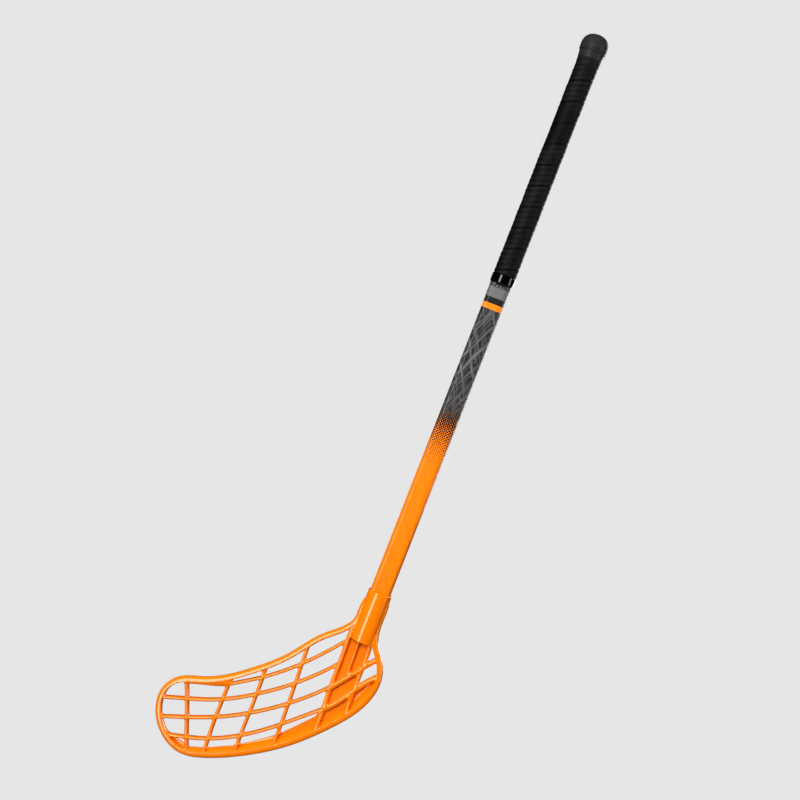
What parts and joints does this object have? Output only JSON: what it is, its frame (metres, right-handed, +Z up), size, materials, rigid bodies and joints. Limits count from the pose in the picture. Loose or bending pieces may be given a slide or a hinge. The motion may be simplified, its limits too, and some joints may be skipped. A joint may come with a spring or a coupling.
{
  "type": "floorball stick",
  "caption": "Floorball stick: an open lattice blade with a round socket, screwed to a hollow composite shaft with a wound ribbed grip, a finishing collar, a foil label and a rounded butt cap.",
  "frame": {"origin": "on the shaft's axis, at the middle of the wound hand grip", "axes": "+Z up the shaft to the butt cap, -X to the toe of the blade, -Y out of the face of the blade that the picture shows"},
  "size_m": [0.2552, 0.0338, 1.0125],
  "materials": {
    "blade_plastic": "satin moulded plastic, orange",
    "shaft_composite": "lacquered wound composite, orange at the foot fading through dots to black",
    "screw_steel": "plated steel",
    "grip_rubber": "matte, fine wrinkles",
    "collar_film": "glossy film",
    "label_foil": "brushed foil, no print",
    "cap_rubber": "matte moulded rubber"
  },
  "bodies": {
    "root": {"blade": "blade_plastic", "shaft": "shaft_composite", "blade_screws": "screw_steel", "grip_tape": "grip_rubber", "grip_collar": "collar_film", "foil_label": "label_foil", "butt_cap": "cap_rubber"}
  },
  "joints": []
}
